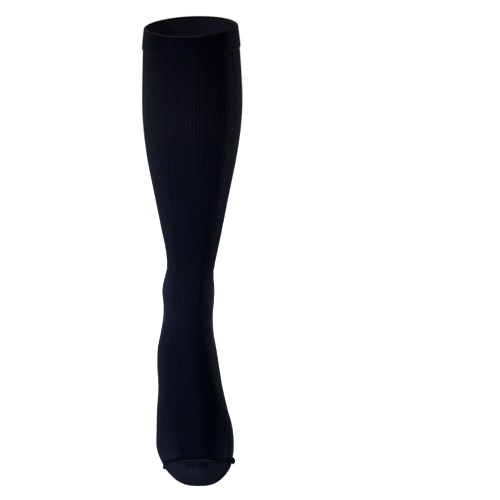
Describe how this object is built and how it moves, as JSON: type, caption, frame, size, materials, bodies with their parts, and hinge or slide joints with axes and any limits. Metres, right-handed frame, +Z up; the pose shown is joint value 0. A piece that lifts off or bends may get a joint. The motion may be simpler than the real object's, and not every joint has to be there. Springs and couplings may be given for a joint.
{
  "type": "knee-high compression stocking",
  "caption": "Dark ribbed knee-high compression stocking in its worn, hollow form: turned top band, tapering leg, heel, pointed foot and linked toe seam.",
  "frame": {"origin": "middle of the top opening, where the leg goes in and the band grips it below the knee", "axes": "+Z up along the leg, the toes point towards -Y and down, +X towards the big toe's side (wearer's left)"},
  "size_m": [0.1085, 0.1527, 0.4972],
  "materials": {
    "welt_knit": "dull ribbed elastic knit, doubled",
    "rib_knit": "dull one by one rib knit",
    "plain_knit": "dull plain knit",
    "toe_knit": "dull plain knit, a little lighter",
    "seam_yarn": "linked yarn ridge"
  },
  "bodies": {
    "root": {"welt": "welt_knit", "leg": "rib_knit", "heel": "plain_knit", "foot": "plain_knit", "toe_cap": "toe_knit", "toe_seam": "seam_yarn"}
  },
  "joints": []
}
